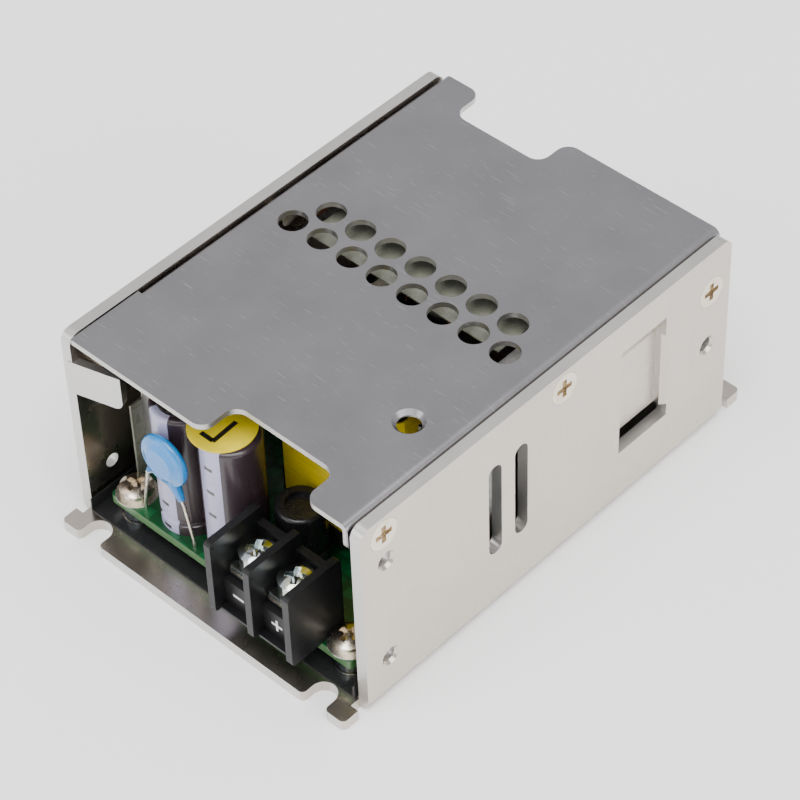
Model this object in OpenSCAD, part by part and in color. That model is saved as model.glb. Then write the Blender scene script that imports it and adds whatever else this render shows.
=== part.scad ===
// Enclosed AC-DC power supply: a folded aluminium channel, a vented cover and the circuit
// board with its parts between them. Millimetres. The origin is the centre of the footprint
// on the underside, +X is the width, -Y the output end, +Y the mains end and +Z is up.

/* [Chassis] */
// Width over the two side walls
case_w = 62; // [60:0.5:70]
// Length of the side walls
wall_l = 82.8; // [82:0.2:96]
// Height over the walls
case_h = 39; // [38:0.5:46]
// Thickness of the chassis sheet
sheet_t = 2; // [1.6:0.1:2.2]
// Inner radius of the two long bends
bend_r = 0.4; // [0.2:0.1:1]
// How far the mounting lugs reach past the walls
lug_reach = 5.1; // [4.8:0.1:7]
// Width of the open mounting slots
lug_slot_w = 4.4; // [3.6:0.1:4.8]
// Depth of the open mounting slots
lug_slot_d = 4.4; // [3.8:0.1:4.6]
// From a wall's outer face to the middle of its mounting slot
lug_slot_inset = 6.5; // [6.2:0.1:7.5]
// Length of the bend relief behind each lug
lug_relief = 1.9; // [1.5:0.1:2.4]
// Rounding of the lugs' corners
lug_corner_r = 0.9; // [0.4:0.1:1.2]
// Rounding of the walls' free upper corners
wall_corner_r = 2; // [0.5:0.1:4]

/* [Wall holes] */
// First cover screw, from the front end of the wall
cover_screw_y1 = 4.8; // [4.4:0.1:6]
// Second cover screw, from the front end of the wall
cover_screw_y2 = 43.7; // [42:0.1:48]
// Depth of the cover screws below the top
cover_screw_drop = 3.5; // [3.2:0.1:3.8]
// Rear cover screw, from the front end of the wall
ear_screw_y = 78.3; // [76:0.1:79]
// Depth of the rear cover screw below the top
ear_screw_drop = 8.4; // [7:0.1:10]
// Core diameter of the tapped mounting holes
tap_d = 2.5; // [2.4:0.05:3.3]
// Chamfer ring of the tapped holes
tap_rim_d = 3.5; // [3.4:0.1:4]
// Lower front mounting hole, height above the underside
low_hole_z = 8.7; // [7:0.1:10]
// Upper front mounting hole, depth below the top
high_hole_drop = 9.3; // [8.5:0.1:10]
// Both front mounting holes, from the front end of the wall
front_hole_y = 5.1; // [5:0.1:6]
// Rear mounting hole, from the rear end of the wall
rear_hole_inset = 4.9; // [4:0.1:6]
// Rear mounting hole, height above the underside
rear_hole_z = 19.4; // [16:0.1:21]
// Width of the upright vent slots
wall_slot_w = 2.85; // [2:0.05:4]
// Length of the upright vent slots
wall_slot_l = 18.8; // [12:0.2:22]
// Pitch of the two vent slots
wall_slot_pitch = 5.8; // [5:0.1:8]
// First vent slot, from the front end of the wall
wall_slot_y = 28.3; // [24:0.1:32]
// Middle of the vent slots above the underside
wall_slot_z = 21.5; // [20:0.5:23]

/* [Pressed pocket] */
// Near side of the pocket, from the front end of the wall
pocket_y = 56.8; // [50:0.1:60]
// Width of the pocket
pocket_w = 10.6; // [8:0.1:14]
// Depth that the tongue is pressed in
pocket_d = 2; // [1:0.1:2.2]
// Height of the window's lower lip
pocket_lip_z = 11.3; // [10:0.1:14]
// Open slit between the lip and the tongue
pocket_slit = 2.3; // [1:0.1:3]
// Straight height of the tongue
pocket_tongue = 15.4; // [12:0.1:16]
// Height of the ramp that fades into the wall
pocket_ramp = 4; // [2:0.1:5]

/* [Folded tab] */
// Length of the tab folded in at the left wall's front end
tab_l = 8.3; // [5:0.1:10]
// Height of the tab
tab_h = 6.6; // [4:0.1:8]
// Thickness of the coined tab
tab_t = 1.4; // [1:0.1:1.8]
// Lean of the tab away from the front plane, in degrees
tab_lean = 15.6; // [5:0.1:25]
// Depth of the tab's top below the walls' top
tab_drop = 5.2; // [4.8:0.1:5.8]

/* [Cover] */
// Thickness of the cover sheet
cover_t = 1; // [0.8:0.05:1.2]
// Gap between the cover and the walls
cover_gap = 0.35; // [0.3:0.05:0.6]
// Outer radius of the cover's bends
cover_bend_r = 1.4; // [1.3:0.1:2]
// Depth of the flanges below the top
flange_d = 5.4; // [5.2:0.1:6]
// Depth of the rear ears below the top
flange_ear_d = 12; // [11:0.1:13]
// Length of the rear ears
flange_ear_l = 9; // [8:0.1:10]
// Set-back of the left flange from the front
flange_setback = 14; // [10:0.5:20]
// Width of the opening over the output terminals
front_notch_w = 20.4; // [19:0.1:22]
// Depth of the opening over the output terminals
front_notch_d = 6.8; // [5:0.1:8]
// Width of the opening over the mains terminals
rear_notch_w = 18.2; // [18:0.1:22]
// Depth of the opening over the mains terminals
rear_notch_d = 6.6; // [5:0.1:8]
// Rounding of the openings' corners
notch_r = 2.3; // [1:0.1:2.4]
// Diameter of the vent holes
vent_d = 4.9; // [3:0.1:5.2]
// Pitch of the vent holes
vent_pitch = 6.28; // [6:0.01:6.5]
// Holes in the front row; the rear row has one less
vent_count = 8; // [4:1:8]
// Distance between the two rows
vent_row = 5.3; // [4.8:0.1:6]
// Front vent row, from the front end of the cover
vent_y = 40.9; // [36:0.1:46]
// Diameter of the adjuster access hole
access_d = 3.8; // [3:0.1:4.2]
// Diameter of the access hole's dished rim
access_rim_d = 5.2; // [4.8:0.1:5.6]

/* [Screws] */
// Shank diameter of the chassis screws
screw_d = 3; // [2.9:0.05:3.1]
// Head diameter of the countersunk screws
flat_head_d = 5.5; // [5:0.1:5.8]
// Length of the countersunk screws
flat_screw_l = 5; // [4:0.1:5.4]
// Length of the long side screw
long_screw_l = 8.2; // [6:0.1:8.4]
// Head diameter of the board screws
pan_head_d = 5.6; // [5:0.1:6]
// Head height of the board screws
pan_head_h = 2.1; // [1.8:0.1:2.4]
// Clearance round screws and leads
fit_gap = 0.05; // [0.03:0.01:0.1]

/* [Board] */
// Mean gap between the board's long edges and the walls
board_gap = 3; // [2.6:0.1:3.4]
// Thickness of the circuit board
pcb_t = 1.6; // [1.2:0.1:1.8]
// Shift of the board from the middle
pcb_shift = 0.4; // [0:0.1:0.6]
// Set-back of the board's ends from the ends of the walls
pcb_setback = 1.2; // [0.8:0.1:1.6]
// Height of the standoffs above the base
standoff_h = 3; // [2.6:0.1:4]
// Diameter of the standoffs
standoff_d = 5; // [4.6:0.1:5.4]
// How far the base film reaches past the walls
film_over = 0.6; // [0:0.1:0.6]
// Board screws, from the board's edges
pcb_screw_inset = 3; // [2.9:0.1:3.4]
// Thickness of the insulating films
film_t = 0.25; // [0.2:0.05:0.4]
// Upturn of the base film
film_turn = 2.6; // [1.5:0.1:3]

/* [Terminal blocks] */
// Distance between two poles
pole_pitch = 8.1; // [7.8:0.05:8.4]
// Thickness of the barriers
barrier_t = 1.3; // [1:0.05:1.5]
// Height of the barriers above the board
barrier_h = 14.8; // [14.4:0.1:16]
// How far the barriers stand out past the board's edge
block_reach = 6.2; // [5.6:0.1:6.3]
// Depth of a block from the barriers' front to its back
block_depth = 11.1; // [10.5:0.1:11.3]
// Height of the seat under the clamps, above the board
seat_h = 6.5; // [5.5:0.1:7]
// Height of the label step, above the board
label_h = 5.8; // [4:0.1:6]
// Set-back of the label step from the barriers' front
label_setback = 2.3; // [2:0.1:2.6]
// Set-back of the contact strips from the barriers' front
strip_setback = 3.4; // [3.1:0.1:3.6]
// Thickness of the contact strips
strip_t = 0.9; // [0.7:0.1:1]
// Side of the square clamp plates
clamp_w = 5.9; // [5:0.1:6]
// Thickness of the clamp plates
clamp_t = 1; // [0.8:0.1:1.2]
// Thickness of the lock washers
washer_t = 1.1; // [0.8:0.1:1.2]
// Shank diameter of the terminal screws
term_screw_d = 3.5; // [3:0.1:3.6]
// Head diameter of the terminal screws
term_head_d = 5.8; // [5.4:0.1:6]
// Head height of the terminal screws
term_head_h = 2.4; // [2:0.1:2.6]
// Depth of the terminal screws below their heads
term_screw_l = 7; // [6:0.1:7.2]
// Screw axis, from the barriers' front
term_screw_y = 6.3; // [6.2:0.1:6.6]

/* [Capacitors] */
// Diameter of the output capacitors
out_cap_d = 10; // [9:0.1:10]
// Height of the output capacitors
out_cap_h = 25; // [20:0.5:25]
// Diameter of the bulk capacitor
bulk_cap_d = 20; // [16:0.5:20]
// Room between the bulk capacitor and the cover
bulk_room = 3.4; // [2.4:0.1:6]
// Diameter of the disc capacitor
disc_d = 9.3; // [8:0.1:10]
// Thickness of the disc capacitor
disc_t = 2.8; // [2.4:0.1:3]
// Diameter of the disc capacitor's leads
lead_d = 0.6; // [0.5:0.05:0.8]
// Diameter of the round sticker
sticker_d = 10.8; // [8:0.1:12]

/* [Magnetics] */
// Width of the transformer core
core_w = 12; // [10:0.5:14]
// Length of the transformer core
core_l = 25; // [22:0.5:25]
// Height of the transformer core
core_h = 25.4; // [22:0.2:25.6]
// Thickness of the core's outer legs and yokes
core_leg = 3.6; // [3:0.1:4]
// Diameter of the core's middle leg
core_mid_d = 7.5; // [6:0.1:8]
// Width over the winding
winding_w = 22; // [20:0.5:23]
// Thickness of the outer tape belt
belt_t = 0.3; // [0.2:0.05:0.4]
// Margin of the core's top that the tape belt leaves bare
belt_drop = 0.7; // [0.4:0.1:4]
// Diameter of the drum inductor
drum_d = 8; // [6:0.1:8.4]
// Height of the drum inductor
drum_h = 13; // [10:0.5:15]
// Outer diameter of the common-mode choke's ring
choke_d = 16; // [14:0.5:16]
// Thickness of the choke's ring
choke_t = 7; // [6:0.5:8]

/* [Heat sinks] */
// Thickness of the heat sink plates
sink_t = 2; // [1.5:0.1:2.2]
// Room between the heat sink plates and the cover
sink_room = 4.9; // [4.6:0.1:7]
// Thickness of the grey insulating pad
pad_t = 0.4; // [0.2:0.05:0.5]

/* [Adjuster] */
// Side of the square adjuster body
trim_w = 6.6; // [6:0.1:7]
// Height of the adjuster body
trim_h = 4.4; // [3.5:0.1:6]
// Diameter of the adjuster's rotor
trim_rotor_d = 3.6; // [3:0.1:4]

/* [Hidden] */
$fn = 48;
eps = 0.01;

// --- walls and cover ---
wall_x = case_w / 2;
inner_x = wall_x - sheet_t;
front_y = -wall_l / 2;
fold_r = bend_r + sheet_t;
cover_screw_z = case_h - cover_screw_drop;
ear_screw_z = case_h - ear_screw_drop;
high_hole_z = case_h - high_hole_drop;
lug_slot_x = wall_x - lug_slot_inset;
lug_x = wall_x - 0.3;
relief_x = inner_x + 0.2;
tongue_z = pocket_lip_z + pocket_slit;
cover_x = inner_x - cover_gap;
front_notch_x = 9.8;
rear_notch_x = -11.6;
access_y = front_y + 21.1;

// --- board ---
pcb_w = 2 * (inner_x - board_gap);
pcb_z = sheet_t + standoff_h;
board_z = pcb_z + pcb_t;
pcb_front = front_y + pcb_setback;
pcb_back = -pcb_front;
pcb_left = pcb_shift - pcb_w / 2;
pcb_right = pcb_shift + pcb_w / 2;
film_x = inner_x - bend_r - 0.05;
screw_edge = pcb_screw_inset + pan_head_d / 2;
access_x = pcb_right - 5.6;
under_cover = case_h - cover_t;

// --- terminal blocks, from the middle of the barriers' front at board level ---
block_w = 2 * pole_pitch + barrier_t;
block_x = pcb_right - screw_edge - 0.1 - block_w / 2;
mains_block_x = -pcb_left - screw_edge - 0.1 - block_w / 2;
pole_w = pole_pitch - barrier_t;
rear_wall_t = 1.4;
rear_wall_h = 12;
tail_w = 3;
clamp_h = seat_h + strip_t;
washer_h = clamp_h + clamp_t;
head_h = washer_h + washer_t;

// --- parts on the board ---
out_cap_y = pcb_front + 5.8;
out_cap_right_x = block_x - block_w / 2 - 0.6 - out_cap_d / 2;
out_cap_left_x = out_cap_right_x - out_cap_d - 0.3;
sticker_x = out_cap_right_x - 1.5;
disc_x = out_cap_left_x + 2.4;
disc_y = out_cap_y - out_cap_d / 2 - disc_t / 2 - 0.1;
disc_z = board_z + 18.5;
core_x = 5;
core_y = pcb_front + 15 + core_l / 2;
core_z = board_z + 1.6;
core_win = core_h - 2 * core_leg;
belt_low = core_leg + 0.3;
belt_h = core_h - belt_drop - belt_low;
flange_t = 0.8;
drum_x = 7;
drum_y = pcb_front - block_reach + block_depth + 1.2 + drum_d / 2;
left_sink_x = pcb_left + 0.7;
left_sink_y = pcb_front + 7.9;
left_sink_l = 46;
sink_h = under_cover - board_z - sink_room;
transistor_y = left_sink_y + 30;
package_z = board_z + 3.5;
right_sink_x = pcb_right - sink_t;
right_sink_y = access_y + trim_w / 2 + 1;
right_sink_l = 49;
rectifier_y = right_sink_y + 12;
sink_flange_w = 6;
bulk_x = pcb_right - sink_t - sink_flange_w - 0.4 - bulk_cap_d / 2;
bulk_cap_h = under_cover - board_z - bulk_room;
bulk_y = pcb_back - 22.2;
choke_x = pcb_left + 15.1;
choke_y = pcb_back - 16;
xcap_size = [18, 8.5, 15];
xcap_x = pcb_right - screw_edge - 0.6 - xcap_size[0] / 2;
xcap_y = pcb_back - 6;
fuse_d = 4.6;
fuse_l = 12;
fuse_lead_d = 0.7;
fuse_x = pcb_left + 2.7;
fuse_y = left_sink_y + left_sink_l + 0.4 + 0.8 + fuse_lead_d / 2 + fuse_l / 2;
bridge_size = [15, 3.6, 11];
bridge_lift = 3;
bridge_pitch = 3.8;
pin_size = [0.8, 0.6];
bridge_x = -12;
bridge_y = pcb_back - 32;
ntc_d = 9;
ntc_t = 3.4;
ntc_lift = 2.2;
ntc_lead_d = 0.8;
ntc_pitch = 5;
ntc_x = right_sink_x - 3;
ntc_y = pcb_back - 16.5;
opto_size = [6.4, 4.6, 3.4];
opto_x = -16;
opto_y = pcb_front + 19;
package_size = [4.5, 10, 9];
package_tab = [1.3, 10, 6.3];

// Countersunk screws in the walls: side (1 is right), y, z and length.
wall_screws = [
    [1, front_y + cover_screw_y1, cover_screw_z, flat_screw_l],
    [1, front_y + cover_screw_y2, cover_screw_z, flat_screw_l],
    [1, front_y + ear_screw_y, ear_screw_z, flat_screw_l],
    [-1, front_y + cover_screw_y2, cover_screw_z, flat_screw_l],
    [-1, front_y + ear_screw_y, ear_screw_z, flat_screw_l],
    [-1, front_y + front_hole_y, high_hole_z, long_screw_l]
];

// Tapped mounting holes in the walls: side, y and z.
tapped_holes = [
    [1, front_y + front_hole_y, high_hole_z],
    [1, front_y + front_hole_y, low_hole_z],
    [1, -front_y - rear_hole_inset, rear_hole_z],
    [-1, front_y + front_hole_y, low_hole_z],
    [-1, -front_y - rear_hole_inset, rear_hole_z]
];

board_screw_places = [
    for (x = [pcb_left + pcb_screw_inset, pcb_right - pcb_screw_inset])
        for (y = [pcb_front + pcb_screw_inset, pcb_back - pcb_screw_inset]) [x, y]
];

// ---------- shared shapes ----------

// The waste of a rounded corner, about the arc's centre; sx and sy say which way it points.
module corner(r, sx, sy) {
    difference() {
        translate([sx > 0 ? 0 : -r - eps, sy > 0 ? 0 : -r - eps]) square(r + eps);
        circle(r = r);
    }
}

// A rectangle with round corners, from one corner at the origin.
module round_rect(size, r) {
    difference() {
        square(size);
        for (sx = [-1, 1]) for (sy = [-1, 1])
            translate([sx > 0 ? size[0] - r : r, sy > 0 ? size[1] - r : r]) corner(r, sx, sy);
    }
}

// A prism along Y from y, of a profile drawn as X and Z.
module prism_y(y, l) {
    translate([0, y + l, 0]) rotate([90, 0, 0]) linear_extrude(l) children();
}

// A prism along X from x, of a profile drawn as Y and Z.
module prism_x(x, l) {
    translate([x, 0, 0]) rotate([90, 0, 90]) linear_extrude(l) children();
}

// A ring standing on z = 0.
module ring(outer_d, inner_d, h) {
    difference() {
        cylinder(d = outer_d, h = h);
        translate([0, 0, -1]) cylinder(d = inner_d, h = h + 2);
    }
}

// A round wire between two points, with round ends.
module wire(a, b, d) {
    v = b - a;
    l = norm(v);
    translate(a) rotate([0, acos(v[2] / l), atan2(v[1], v[0])]) cylinder(d = d, h = l);
    translate(b) sphere(d = d);
}

// A cross recess cut down from z = 0.
module cross_recess(span, depth) {
    for (turn = [0, 90])
        rotate([0, 0, turn]) translate([-span / 2, -span * 0.14, -depth])
            cube([span, span * 0.28, depth + 1]);
}

// A pan head standing on z = 0, with its shank below.
module pan_screw(d, h, shank_d, shank_l) {
    dome_r = 1.2 * d;
    difference() {
        union() {
            rotate_extrude() intersection() {
                translate([0, h - dome_r]) circle(r = dome_r);
                square([d / 2, h]);
            }
            translate([0, 0, -shank_l]) cylinder(d = shank_d, h = shank_l + eps);
        }
        translate([0, 0, h]) cross_recess(d * 0.6, h * 0.55);
    }
}

// A countersunk screw with its head flush with z = 0.
module flat_screw(l) {
    cone_h = (flat_head_d - screw_d) / 2;
    difference() {
        union() {
            translate([0, 0, -cone_h]) cylinder(d1 = screw_d, d2 = flat_head_d, h = cone_h);
            translate([0, 0, -l]) cylinder(d = screw_d, h = l - cone_h + eps);
        }
        cross_recess(flat_head_d * 0.6, 1);
    }
}

// The hole and seat for a countersunk screw, from z = 0 down.
module flat_seat(depth) {
    seat_d = flat_head_d + 2 * fit_gap;
    hole_d = screw_d + 2 * fit_gap;
    cone_h = (seat_d - hole_d) / 2;
    translate([0, 0, -cone_h]) cylinder(d1 = hole_d, d2 = seat_d, h = cone_h);
    translate([0, 0, -depth]) cylinder(d = hole_d, h = depth);
    cylinder(d = seat_d, h = 1);
}

// Turns what is built along -Z so that it enters a wall from outside.
module into_wall(side, y, z) {
    translate([side * wall_x, y, z]) rotate([0, side * 90, 0]) children();
}

// ---------- chassis: one folded sheet ----------

module channel_profile() {
    difference() {
        translate([-wall_x, 0]) square([case_w, case_h]);
        for (side = [-1, 1]) {
            translate([side * (wall_x - fold_r), fold_r]) corner(fold_r, side, -1);
            translate([side * (inner_x - bend_r), sheet_t + bend_r]) circle(r = bend_r);
        }
        translate([-inner_x, sheet_t + bend_r]) square([2 * inner_x, case_h]);
        translate([-inner_x + bend_r, sheet_t]) square([2 * (inner_x - bend_r), bend_r + 1]);
    }
}

// One end of the base past the walls: a middle tongue, and an ear beyond each open slot.
module lug_end() {
    slot_r = lug_slot_w / 2;
    linear_extrude(sheet_t) difference() {
        translate([-lug_x, -lug_reach]) square([2 * lug_x, lug_reach + 1]);
        for (side = [-1, 1]) {
            translate([side * lug_slot_x, lug_slot_d - lug_reach - slot_r]) circle(r = slot_r);
            translate([side * lug_slot_x - slot_r, -lug_reach - 1])
                square([lug_slot_w, lug_slot_d - slot_r + 1]);
            for (edge = [-1, 1])
                translate([side * lug_slot_x + edge * (slot_r + lug_corner_r),
                           lug_corner_r - lug_reach]) corner(lug_corner_r, -edge, -1);
            translate([side * (lug_x - lug_corner_r), lug_corner_r - lug_reach])
                corner(lug_corner_r, side, -1);
            translate([side > 0 ? relief_x : -lug_x - 1, -lug_relief])
                square([lug_x - relief_x + 1, lug_relief + 2]);
        }
    }
}

// Section of the pressed tongue: straight, then a ramp that fades into the wall's face.
module tongue_profile(face_x) {
    polygon([[face_x, tongue_z], [face_x - pocket_d, tongue_z],
             [face_x - pocket_d, tongue_z + pocket_tongue],
             [face_x, tongue_z + pocket_tongue + pocket_ramp]]);
}

// What pressing the pocket takes from the wall: the sunk face, its soft side and the slit.
module pocket_waste() {
    soft = 0.9;
    prism_y(front_y + pocket_y, pocket_w) tongue_profile(wall_x + eps);
    translate([0, 0, tongue_z]) linear_extrude(pocket_tongue)
        polygon([[wall_x + eps, front_y + pocket_y + pocket_w + soft],
                 [wall_x + eps, front_y + pocket_y + pocket_w - eps],
                 [wall_x - soft, front_y + pocket_y + pocket_w - eps]]);
    translate([inner_x - 1, front_y + pocket_y, pocket_lip_z])
        cube([sheet_t + 2, pocket_w + soft, pocket_slit]);
}

module folded_tab() {
    round_r = 1.5;
    translate([-inner_x, front_y, case_h - tab_drop - tab_h])
        rotate([0, 0, tab_lean]) prism_y(0, tab_t) difference() {
            translate([-0.8, 0]) square([tab_l + 0.8, tab_h]);
            translate([tab_l - round_r, round_r]) corner(round_r, 1, -1);
        }
}

// An upright slot with round ends, through the right wall.
module wall_slot() {
    straight = wall_slot_l - wall_slot_w;
    prism_x(inner_x - 1, sheet_t + 2) union() {
        translate([-wall_slot_w / 2, -straight / 2]) square([wall_slot_w, straight]);
        for (end = [-1, 1]) translate([0, end * straight / 2]) circle(d = wall_slot_w);
    }
}

module chassis() {
    color("#b9b5af") difference() {
        union() {
            prism_y(front_y, wall_l) channel_profile();
            for (end = [0, 1])
                rotate([0, 0, end * 180]) translate([0, front_y, 0]) lug_end();
            prism_y(front_y + pocket_y - 0.6, pocket_w + 1.2) tongue_profile(inner_x + eps);
            folded_tab();
        }
        pocket_waste();
        for (end = [-1, 1])
            prism_x(-wall_x - 1, case_w + 2)
                translate([end * (wall_l / 2 - wall_corner_r), case_h - wall_corner_r])
                corner(wall_corner_r, end, 1);
        for (s = wall_screws) into_wall(s[0], s[1], s[2]) flat_seat(sheet_t + 1);
        for (h = tapped_holes) into_wall(h[0], h[1], h[2]) {
            translate([0, 0, -sheet_t - 1]) cylinder(d = tap_d, h = sheet_t + 2);
            translate([0, 0, (tap_d - tap_rim_d) / 2])
                cylinder(d1 = tap_d, d2 = tap_rim_d, h = (tap_rim_d - tap_d) / 2);
        }
        for (i = [0, 1])
            translate([0, front_y + wall_slot_y + i * wall_slot_pitch, wall_slot_z]) wall_slot();
        for (p = board_screw_places)
            translate([p[0], p[1], -1]) cylinder(d = standoff_d - 1 + 2 * fit_gap, h = sheet_t + 2);
    }
}

// ---------- cover: one sheet with its sides folded down ----------

// The opening over a terminal block, at an edge on y = 0 and into +Y.
module notch(w, d) {
    translate([-w / 2, -d]) round_rect([w, 2 * d], notch_r);
    for (side = [-1, 1]) {
        translate([side * (w / 2 + notch_r), notch_r]) corner(notch_r, -side, -1);
        translate([side > 0 ? w / 2 - eps : -w / 2 - notch_r, -1]) square([notch_r + eps, 1]);
    }
}

module cover_outline() {
    difference() {
        translate([-cover_x, front_y]) square([2 * cover_x, wall_l]);
        translate([front_notch_x, front_y]) notch(front_notch_w, front_notch_d);
        translate([rear_notch_x, -front_y]) rotate(180) notch(rear_notch_w, rear_notch_d);
        for (row = [0, 1]) for (i = [0 : vent_count - 1 - row])
            translate([(i - (vent_count - 1 - row) / 2) * vent_pitch - 0.2,
                       front_y + vent_y + row * vent_row]) circle(d = vent_d);
        translate([access_x, access_y]) circle(d = access_d);
    }
}

// A side flange with its deeper rear ear, drawn as Y and Z.
module flange_outline(setback) {
    difference() {
        union() {
            translate([front_y + setback, case_h - flange_d])
                square([wall_l - setback, flange_d - cover_bend_r]);
            translate([-front_y - flange_ear_l, case_h - flange_ear_d])
                square([flange_ear_l, flange_ear_d - cover_bend_r]);
        }
        translate([front_y + setback + 1.6, case_h - flange_d + 1.6]) corner(1.6, -1, -1);
        translate([-front_y - 1.6, case_h - flange_ear_d + 1.6]) corner(1.6, 1, -1);
    }
}

// The round fold between the top and a flange, drawn as X and Z for the right side.
module fold_section() {
    difference() {
        translate([cover_x - cover_bend_r, case_h - cover_bend_r]) square(cover_bend_r);
        translate([cover_x - cover_bend_r, case_h - cover_bend_r])
            corner(cover_bend_r, 1, 1);
        translate([cover_x - cover_bend_r, case_h - cover_bend_r])
            circle(r = cover_bend_r - cover_t);
    }
}

module top_cover() {
    color("#8d8c8e") difference() {
        union() {
            intersection() {
                translate([0, 0, case_h - cover_t]) linear_extrude(cover_t) cover_outline();
                union() {
                    translate([cover_bend_r - cover_x, front_y, 0])
                        cube([2 * (cover_x - cover_bend_r), wall_l, case_h]);
                    translate([-cover_x, front_y, 0])
                        cube([cover_bend_r + eps, flange_setback, case_h]);
                }
            }
            prism_y(front_y, wall_l) fold_section();
            mirror([1, 0, 0]) prism_y(front_y + flange_setback, wall_l - flange_setback)
                fold_section();
            prism_x(cover_x - cover_t, cover_t) flange_outline(0);
            prism_x(-cover_x, cover_t) flange_outline(flange_setback);
        }
        for (s = wall_screws) if (s[3] == flat_screw_l)
            into_wall(s[0], s[1], s[2]) translate([0, 0, -flat_screw_l])
                cylinder(d = screw_d + 2 * fit_gap, h = flat_screw_l);
        translate([access_x, access_y, case_h - (access_rim_d - access_d) / 2])
            cylinder(d1 = access_d, d2 = access_rim_d, h = (access_rim_d - access_d) / 2 + eps);
    }
}

module cover_screws() {
    color("#cfc6b8") for (s = wall_screws) into_wall(s[0], s[1], s[2]) flat_screw(s[3]);
}

// ---------- insulating films ----------

module base_film() {
    color("#5b615f") difference() {
        union() {
            translate([-film_x, front_y - film_over, sheet_t])
                cube([2 * film_x, wall_l + 2 * film_over, film_t]);
            for (side = [-1, 1])
                translate([side > 0 ? film_x - film_t : -film_x, front_y - film_over, sheet_t])
                    cube([film_t, wall_l + 2 * film_over, film_turn]);
        }
        for (p = board_screw_places)
            translate([p[0], p[1], 0]) cylinder(d = standoff_d + 0.4, h = pcb_z);
    }
}

module cover_film() {
    left = left_sink_x + sink_t + 1;
    right = right_sink_x - sink_flange_w - 0.4;
    color("#6f716a")
        translate([left, front_y + vent_y + 2.6, board_z + bulk_cap_h])
            cube([right - left, 31, film_t]);
}

// ---------- circuit board and its fixings ----------

module circuit_board() {
    color("#0b6b3a") translate([0, 0, pcb_z]) linear_extrude(pcb_t) difference() {
        translate([pcb_left, pcb_front]) round_rect([pcb_w, pcb_back - pcb_front], 0.8);
        for (p = board_screw_places) translate(p) circle(d = screw_d + 0.2);
    }
}

module board_standoffs() {
    color("#b5b3ad") for (p = board_screw_places) translate([p[0], p[1], 0]) difference() {
        union() {
            cylinder(d = standoff_d - 1, h = pcb_z);
            translate([0, 0, sheet_t]) cylinder(d = standoff_d, h = standoff_h);
        }
        translate([0, 0, -1]) cylinder(d = screw_d + 2 * fit_gap, h = pcb_z + 2);
    }
}

module board_screws() {
    color("#c9b9a0") for (p = board_screw_places) translate([p[0], p[1], board_z])
        pan_screw(pan_head_d, pan_head_h, screw_d, pcb_t + standoff_h);
}

// ---------- terminal blocks ----------

// Puts a child at the output block, or turned to the mains block.
module at_block(mains) {
    rotate([0, 0, mains ? 180 : 0])
        translate([mains ? mains_block_x : block_x, pcb_front - block_reach, board_z])
            children();
}

// Puts a child on a pole's screw axis: pole -1 is on the left seen from the block's front.
module at_pole(mains, pole) {
    at_block(mains) translate([pole * pole_pitch / 2, term_screw_y, 0]) children();
}

// One barrier, drawn as Y and Z.
module barrier_outline() {
    round_rect([block_depth, barrier_h], 0.7);
    translate([block_depth / 2, 0]) square([block_depth / 2, barrier_h / 2]);
}

// The moulding between two barriers, drawn as Y and Z.
module pole_outline() {
    translate([1, 0]) square([block_depth - 1, 0.5]);
    translate([label_setback, 0]) square([block_depth - label_setback, label_h]);
    translate([strip_setback, 0]) square([block_depth - strip_setback, seat_h]);
    translate([block_depth - rear_wall_t, 0]) square([rear_wall_t, rear_wall_h]);
}

module terminal_block(mains) {
    color("#1e1e20") at_block(mains) difference() {
        union() {
            for (i = [0 : 2])
                prism_x(i * pole_pitch - block_w / 2, barrier_t) barrier_outline();
            prism_x(eps - block_w / 2, block_w - 2 * eps) pole_outline();
        }
        for (pole = [-1, 1]) translate([pole * pole_pitch / 2, 0, 0]) {
            translate([0, term_screw_y, 0.8]) cylinder(d = term_screw_d + 1, h = seat_h);
            translate([-tail_w / 2 - fit_gap,
                       block_depth - rear_wall_t - strip_t - 2 * fit_gap, -1])
                cube([tail_w + 2 * fit_gap, strip_t + 2 * fit_gap, seat_h + 2]);
        }
    }
}

module contact_strips(mains) {
    strip_w = pole_w - 0.4;
    back = block_depth - rear_wall_t - fit_gap;
    color("#d9d6cf") for (pole = [-1, 1]) at_block(mains)
        translate([pole * pole_pitch / 2, 0, 0]) difference() {
            union() {
                translate([-strip_w / 2, strip_setback, seat_h])
                    cube([strip_w, back - strip_setback, strip_t]);
                translate([-tail_w / 2, back - strip_t, 0])
                    cube([tail_w, strip_t, seat_h + eps]);
            }
            translate([0, term_screw_y, 0])
                cylinder(d = term_screw_d + 2 * fit_gap, h = clamp_h + 1);
        }
}

// The square clamp plate and the split lock washer on it.
module terminal_clamp(mains, pole) {
    color("#c3c8c4") at_pole(mains, pole) {
        translate([0, 0, clamp_h]) difference() {
            translate([-clamp_w / 2, -clamp_w / 2, 0]) cube([clamp_w, clamp_w, clamp_t]);
            translate([0, 0, -1]) cylinder(d = term_screw_d + 2 * fit_gap, h = clamp_t + 2);
        }
        translate([0, 0, washer_h]) difference() {
            ring(term_head_d - 0.3, term_screw_d + 2 * fit_gap, washer_t);
            translate([0, -0.25, -1]) cube([term_head_d, 0.5, washer_t + 2]);
        }
    }
}

module terminal_screw(mains, pole) {
    color("#aebcbc") at_pole(mains, pole) translate([0, 0, head_h]) rotate([0, 0, 30])
        pan_screw(term_head_d, term_head_h, term_screw_d, term_screw_l);
}

// ---------- output side ----------

// A standing electrolytic capacitor: beaded can, crimp ring and rounded shoulder.
module can_capacitor(d, h) {
    r = d / 2;
    rotate_extrude() difference() {
        square([r, h]);
        translate([r + 0.35, 2.6]) circle(r = 0.8);
        translate([r - 0.7, h - 0.7]) corner(0.7, 1, 1);
        translate([0, h - 0.35]) square([r - 1.3, 1]);
    }
}

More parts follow.
